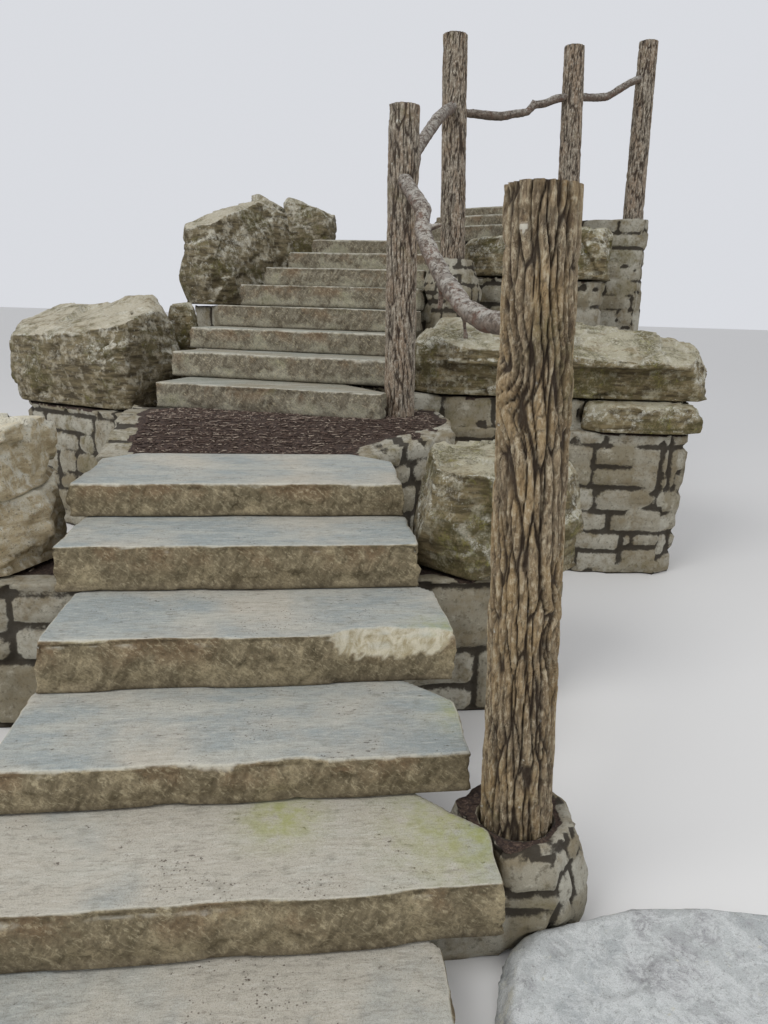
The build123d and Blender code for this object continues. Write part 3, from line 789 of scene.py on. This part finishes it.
def masonry(node, voxel, seed, slivers):
    """Packed stone: squared blocks of many sizes with dark joints, round a loose earth fill."""
    piece = fine_copy(node, voxel, node + "_masonry")
    points = read(piece.data, "co")
    normals = read(piece.data, "normal")
    beside_post = beside_posts(points, POSTS)[0]
    away, around = beside_posts(points, COLLARED_POSTS)
    collar = away < COLLAR_REACH
    scale = np.where(collar, COLLAR_SCALE, 1.0)
    heading = np.round(np.arctan2(normals[:, 1], normals[:, 0]) * HEADINGS / math.pi).astype(np.int64)
    facing = heading * math.pi / HEADINGS
    along_wall = points[:, 1] * np.cos(facing) - points[:, 0] * np.sin(facing)
    along = np.where(collar, COLLAR_RADIUS * around, along_wall)
    along += 0.03 * scale * fractal(points, 5, seed + 2, 3)
    heading[collar] = COLLAR_HEADING
    level = points[:, 2] + 0.03 * fractal(points, 4, seed, 3)
    tall = COURSE_HEIGHT * scale
    wide = GROUP_LENGTH * scale

    def chance(course, group, question):
        """A number from 0 to 1 that is the same all over one group of blocks."""
        key = np.stack([course, group + 31 * heading, question + 0 * course], axis=1)
        return hashed(key.astype(np.int64), seed)

    # A course is cut into groups, most groups into two rows, and most rows into two blocks
    course = np.floor(level / tall)
    shifted = along / wide + 5 * chance(course, 0 * course, 0)
    group = np.floor(shifted)
    inner = shifted - group
    rise = level / tall - course
    single = chance(course, group, 1) < SINGLE_ROWS
    cut = 0.36 + 0.28 * chance(course, group, 2)
    row = np.where(single, 0, (rise > cut).astype(int))
    low = np.where(row == 1, cut, 0)
    high = np.where(single | (row == 1), 1, cut)
    divided = chance(course, group, 3 + row) < DIVIDED_ROWS
    split_at = 0.32 + 0.36 * chance(course, group, 5 + row)
    column = np.where(divided, (inner > split_at).astype(int), 0)
    left = np.where(column == 1, split_at, 0)
    right = np.where(divided & (column == 0), split_at, 1)
    tone = chance(course * 3 + row, group * 3 + column, 9)

    # How deep each place lies in its own block, with round corners
    across = np.minimum(inner - left, right - inner) * wide
    upright = np.minimum(rise - low, high - rise) * tall
    corner = BLOCK_CORNER - np.hypot(np.clip(BLOCK_CORNER - across / scale, 0, 1),
                                     np.clip(BLOCK_CORNER - upright / scale, 0, 1))
    stone = smooth(corner, 0.0, JOINT_WIDTH)

    # The top takes its stones from the nearest free edge, and further in it is earth
    rim = (normals[:, 2] > RIM_FACES[0]) & (normals[:, 2] < RIM_FACES[1]) & (beside_post > SOCKET_RADIUS)
    rim = np.flatnonzero(rim)
    free_edges = KDTree(len(rim))
    all_edges = KDTree(len(rim))
    for index in rim:
        all_edges.insert(points[index], index)
        if neighbours.find_nearest(points[index])[3] > HIDDEN_EDGE:
            free_edges.insert(points[index], index)
    free_edges.balance()
    all_edges.balance()
    within = np.zeros(len(points))
    for index in np.flatnonzero(normals[:, 2] > TOP_FACES):
        beside, within[index] = free_edges.find(points[index])[1:]
        tone[index] = tone[beside]
        stone[index] = stone[beside]
    coping = scale ** 2 * (0.07 + 0.09 * tone + 0.02 * fractal(points, 8, seed + 12, 3))
    earth = smooth(within - coping, -0.005, 0.02)

    # Walls are cut in sideways and tops straight down
    facet = chips(points, (6, 6, 8), seed + 4)[0]
    skin = 0.006 + 0.016 * tone + 0.010 * facet + 0.012 * fractal(points, 11, seed + 3, 4)
    deep = (1 - stone) * JOINT_DEPTH + stone * np.clip(skin, 0, JOINT_DEPTH)
    deep = deep * np.where(beside_post < SOCKET_RADIUS, 0.0, scale)
    upward = np.clip(normals[:, 2], 0, 1)
    fill = np.clip(0.014 + 0.008 * fractal(points, 14, seed + 8, 5), 0.004, 0.024)
    sunk = upward * (earth * fill + (1 - earth) * np.clip(0.3 * deep, 0, 0.014))
    sideways = normals * np.array([1, 1, 0]) * deep[:, None]
    moved = points - sideways * (np.abs(normals[:, 2]) < FLAT_FACES)[:, None]
    moved[:, 2] -= sunk
    place(piece.data, moved)
    mark(piece.data, "joint", 1 - stone)
    mark(piece.data, "tone", tone)
    mark(piece.data, "earth", earth * (normals[:, 2] > TOP_FACES))
    finish_piece(piece, looks["masonry"])
    filled = np.flatnonzero((earth > 0.9) & (within > coping + SLIVER_TO_COPING))
    inner_fill = [index for index in filled if all_edges.find(points[index])[2] > SLIVER_TO_EDGE]
    mulch(node, moved[inner_fill], slivers, seed + 90)


# A sliver of bark: how far each corner lies along it, beside its middle line and up on its ridge
SLIVER_CORNERS = ((-1, -1, 0), (-0.8, 1, 0), (1, 0.6, 0), (0.9, -1, 0), (-0.6, 0, 1), (0.7, 0, 1))
SLIVER_FACES = ((0, 3, 5, 4), (1, 4, 5, 2), (0, 4, 1), (3, 2, 5), (0, 1, 2, 3))
SLIVER_SCATTER = 0.03
SLIVER_LIFT = 0.001
SLIVER_HEIGHT = 0.003


def mulch(node, ground, count, seed):
    """Slivers of shredded bark that lie every way on a fill."""
    pick = np.arange(count)
    key = np.stack([pick, 7 * pick, 13 * pick], axis=1)
    draw = [hashed(key, seed + k) for k in range(8)]
    at = ground[(draw[0] * (len(ground) - 1)).astype(int)]
    at = at + np.stack([draw[1] - 0.5, draw[2] - 0.5, 0 * draw[0]], axis=1) * SLIVER_SCATTER
    turn = draw[3] * 2 * math.pi
    long = 0.008 + 0.026 * draw[4] ** 2
    wide = 0.002 + 0.003 * draw[5]
    lean = 0.3 * (draw[6] - 0.5)
    tones = np.repeat(draw[7], len(SLIVER_CORNERS))
    along = np.stack([np.cos(turn), np.sin(turn), lean], axis=1)
    beside = np.stack([-np.sin(turn), np.cos(turn), 0 * turn], axis=1)
    corners = []
    for end, side, up in SLIVER_CORNERS:
        corners.append(at + along * (end * long)[:, None] + beside * (side * wide)[:, None]
                       + np.array([0, 0, SLIVER_LIFT]) + np.array([0, 0, SLIVER_HEIGHT]) * up)
    faces = []
    for one in range(count):
        for face in SLIVER_FACES:
            faces.append([len(SLIVER_CORNERS) * one + corner for corner in face])
    mesh = bpy.data.meshes.new(node + "_mulch")
    mesh.from_pydata(np.stack(corners, axis=1).reshape(-1, 3).tolist(), [], faces)
    mark(mesh, "tone", tones)
    piece = bpy.data.objects.new(node + "_mulch", mesh)
    bpy.context.collection.objects.link(piece)
    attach(piece, "root")
    finish_piece(piece, looks["mulch"])


# Logs and branches. The furrow mark runs from 0 to 1 on bark and is one of these two numbers on sawn wood.
SAWN_TOP = -1.0
SAWN_LIMB = -2.0
BARK_PLATES = (40, 40, 3.8)
BARK_CRACKS = (62, 62, 11)
BARK_FIBRES = (120, 120, 20)
BARK_WARP = np.array([0.012, 0.012, 0.04])
CAP_RINGS = 8
# A log's mesh: how far apart its rows and columns lie, as shares of the spacing
ROW_SHARE = 1.4
COLUMN_SHARE = 0.72
LEAST_ROWS = 8


def ring_faces(low, high, columns):
    """The faces between two rings of vertices that start at these numbers."""
    faces = []
    for column in range(columns):
        right = (column + 1) % columns
        faces.append((low + column, low + right, high + right, high + column))
    return faces


def off_line(turn, angle, radius):
    """How far round a log each place lies from one direction, in metres."""
    return radius * ((turn - angle + math.pi) % (2 * math.pi) - math.pi)


def log(node, spacing, seed, look, furrow_depth=0.012, knots=(), cuts=()):
    """A bark log: long plates that split and join, dark furrows, and a sawn top.
    Knots and cuts are given as height, direction round the log, size and reach."""
    (foot, foot_radius), (head, head_radius) = rings_of(node)
    length = head[2] - foot[2]
    rows = max(int(length / (ROW_SHARE * spacing)), LEAST_ROWS)
    columns = int(2 * math.pi * foot_radius / (COLUMN_SHARE * spacing))
    turns = np.arange(columns) * 2 * math.pi / columns
    share, turn = np.meshgrid(np.linspace(0, 1, rows + 1), turns, indexing="ij")
    share = share.ravel()
    turn = turn.ravel()
    height = share * length
    radius = foot_radius + share * (head_radius - foot_radius)

    # Knots bulge, and the bark's grain swirls round them
    bulge = np.zeros(len(turn))
    swirl_turn = turn + 0.35 * height
    swirl_height = height.copy()
    for level, angle, size, reach in knots:
        beside = off_line(turn, angle, radius)
        near = np.exp(-(np.hypot((height - level) / 1.3, beside) / size) ** 2)
        bulge += reach * near
        twist = 1.3 * near
        swirl_turn += ((np.cos(twist) - 1) * beside - np.sin(twist) * (height - level)) / radius
        swirl_height += np.sin(twist) * beside + (np.cos(twist) - 1) * (height - level)

    # Furrows between the plates, and finer splits in them
    grain = np.stack([np.cos(swirl_turn) * radius, np.sin(swirl_turn) * radius, swirl_height], axis=1)
    warp = np.stack([fractal(grain, (11, 11, 7), seed + k, 4) for k in range(3)], axis=1)
    warped = grain + warp * BARK_WARP
    own, edge = chips(warped, BARK_PLATES, seed + 5)[1:]
    crack_edge = chips(warped, BARK_CRACKS, seed + 15)[2]
    fibre = fractal(grain, BARK_FIBRES, seed + 25, 3)
    edge = edge + 0.05 * fibre
    furrow = 1 - smooth(edge, 0.0, 0.18)
    split = 1 - smooth(crack_edge + 0.05 * fibre, 0.0, 0.15)
    crown = smooth(edge, 0.0, 0.4) * (0.4 + 0.6 * own)
    hollow = 0.55 * furrow + 0.22 * split * (1 - furrow) + 0.45 * (1 - crown)
    inward = furrow_depth * hollow + 0.0012 * fibre
    furrow = np.maximum(furrow, 0.6 * split)
    for level, angle, size, reach in cuts:
        inside = np.hypot(height - level, off_line(turn, angle, radius)) < size
        inward = np.where(inside, -reach, inward)
        furrow = np.where(inside, SAWN_LIMB, furrow)
    radius = radius - np.clip(inward, -0.01, furrow_depth + 0.005) + bulge
    points = np.stack([foot[0] + share * (head[0] - foot[0]) + np.cos(turn) * radius,
                       foot[1] + share * (head[1] - foot[1]) + np.sin(turn) * radius,
                       foot[2] + height], axis=1)
    faces = []
    for row in range(rows):
        faces += ring_faces(row * columns, (row + 1) * columns, columns)

    # The sawn top, in rings that close on its middle
    rim = rows * columns
    parts = [points]
    marks = [furrow]
    for ring in range(1, CAP_RINGS + 1):
        flat = head + (points[rim:rim + columns] - head) * max(1 - ring / CAP_RINGS, 0.02)
        flat[:, 2] = head[2] - 0.004 - 0.003 * lumps(flat, 40, seed + ring)
        parts.append(flat)
        marks.append(np.full(columns, SAWN_TOP))
        low = rim + (ring - 1) * columns
        faces += ring_faces(low, low + columns, columns)
    last = rim + CAP_RINGS * columns
    faces.append(tuple(range(last, last + columns)))
    faces.append(tuple(range(columns - 1, -1, -1)))
    mesh = bpy.data.meshes.new(node)
    mesh.from_pydata(np.concatenate(parts).tolist(), [], faces)
    mark(mesh, "furrow", np.concatenate(marks))
    piece = bpy.data.objects.new(node + "_bark", mesh)
    bpy.context.collection.objects.link(piece)
    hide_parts(node)
    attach(piece, "root")
    finish_piece(piece, looks[look])


def branch(node, voxel, seed):
    """A branch with its bark partly gone: smooth wood with low wrinkles."""
    def shape(points, normals):
        wrinkle = 0.0035 * fractal(points, (22, 22, 22), seed, 4)
        return -0.002 + wrinkle - 0.004 * smooth(lumps(points, 14, seed + 9), 0.2, 0.6)
    piece = fine_copy(node, voxel, node + "_wood")
    rounded(piece, times=6)
    carve(piece, shape)
    finish_piece(piece, looks["branch_wood"])


camera()
studio()

# The pieces: each by its node, the size of its mesh in metres and the seed of its noise
neighbours = stones_tree()
slab("lower_step_1", 0.0135, 11, warm=0.6)
slab("lower_step_2", 0.0135, 12, warm=0.85, moss=[(0.62, 0.66, 0.2), (0.1, 0.72, 0.1)])
slab("lower_step_3", 0.0135, 13, warm=0.3, moss=[(0.7, 1.0, 0.1)])
slab("lower_step_4", 0.0135, 14, warm=0.35, moss=[(0.66, 1.2, 0.12)],
     spalls=[(0.46, 0.24, 0.10), (-0.5, 0.12, 0.04)])
slab("lower_step_5", 0.0135, 15, warm=0.3, spalls=[(0.6, 0.05, 0.03)])
slab("lower_step_6", 0.0135, 16, warm=0.35, moss=[(0.6, 1.75, 0.12)])
for number in range(1, 9):
    slab(f"upper_step_{number}", 0.019, 30 + number)
for number in range(1, 4):
    slab(f"turn_step_{number}", 0.022, 50 + number)
rock("foot_rock", 0.015, 3, "grey_rock", rough=0.25, layers=0.0)
rock("left_low_boulder", 0.016, 5, "pale_rock")
rock("left_low_under_boulder", 0.017, 7, "pale_rock")
rock("right_low_boulder", 0.013, 11, "mossy_rock", rough=0.6, layers=0.004)
rock("left_landing_boulder", 0.020, 13, "cream_rock", rough=0.8)
rock("left_chock_stone", 0.012, 17, "mossy_rock", rough=0.5)
rock("left_upper_boulder", 0.02, 19, "cream_rock", rough=0.8, tilt=0.7)
rock("left_back_boulder", 0.018, 23, "cream_rock", rough=0.8)
rock("right_long_boulder", 0.018, 29, "mossy_rock", rough=0.8, tilt=0.05)
rock("right_under_boulder", 0.016, 31, "mossy_rock", rough=0.6)
rock("right_turn_boulder", 0.018, 37, "mossy_rock", rough=0.8)
rock("right_turn_end_boulder", 0.018, 41, "mossy_rock", rough=0.8)
masonry("lower_foundation", 0.023, 60, slivers=900)
masonry("upper_foundation", 0.034, 61, slivers=900)
masonry("turn_foundation", 0.034, 62, slivers=500)
masonry("landing_foundation", 0.028, 66, slivers=3600)
log("post_1", 0.0058, 70, "near_bark", furrow_depth=0.017,
    knots=[(1.50, 3.5, 0.06, 0.009), (0.9, 5.6, 0.05, 0.004)], cuts=[(1.84, 3.95, 0.012, 0.001)])
log("post_2", 0.0088, 72, "far_bark")
log("post_3", 0.011, 74, "far_bark")
log("post_4", 0.012, 76, "far_bark")
log("post_5", 0.012, 78, "far_bark")
for number in range(1, 5):
    branch(f"rail_{number}", 0.0095, 80 + number)
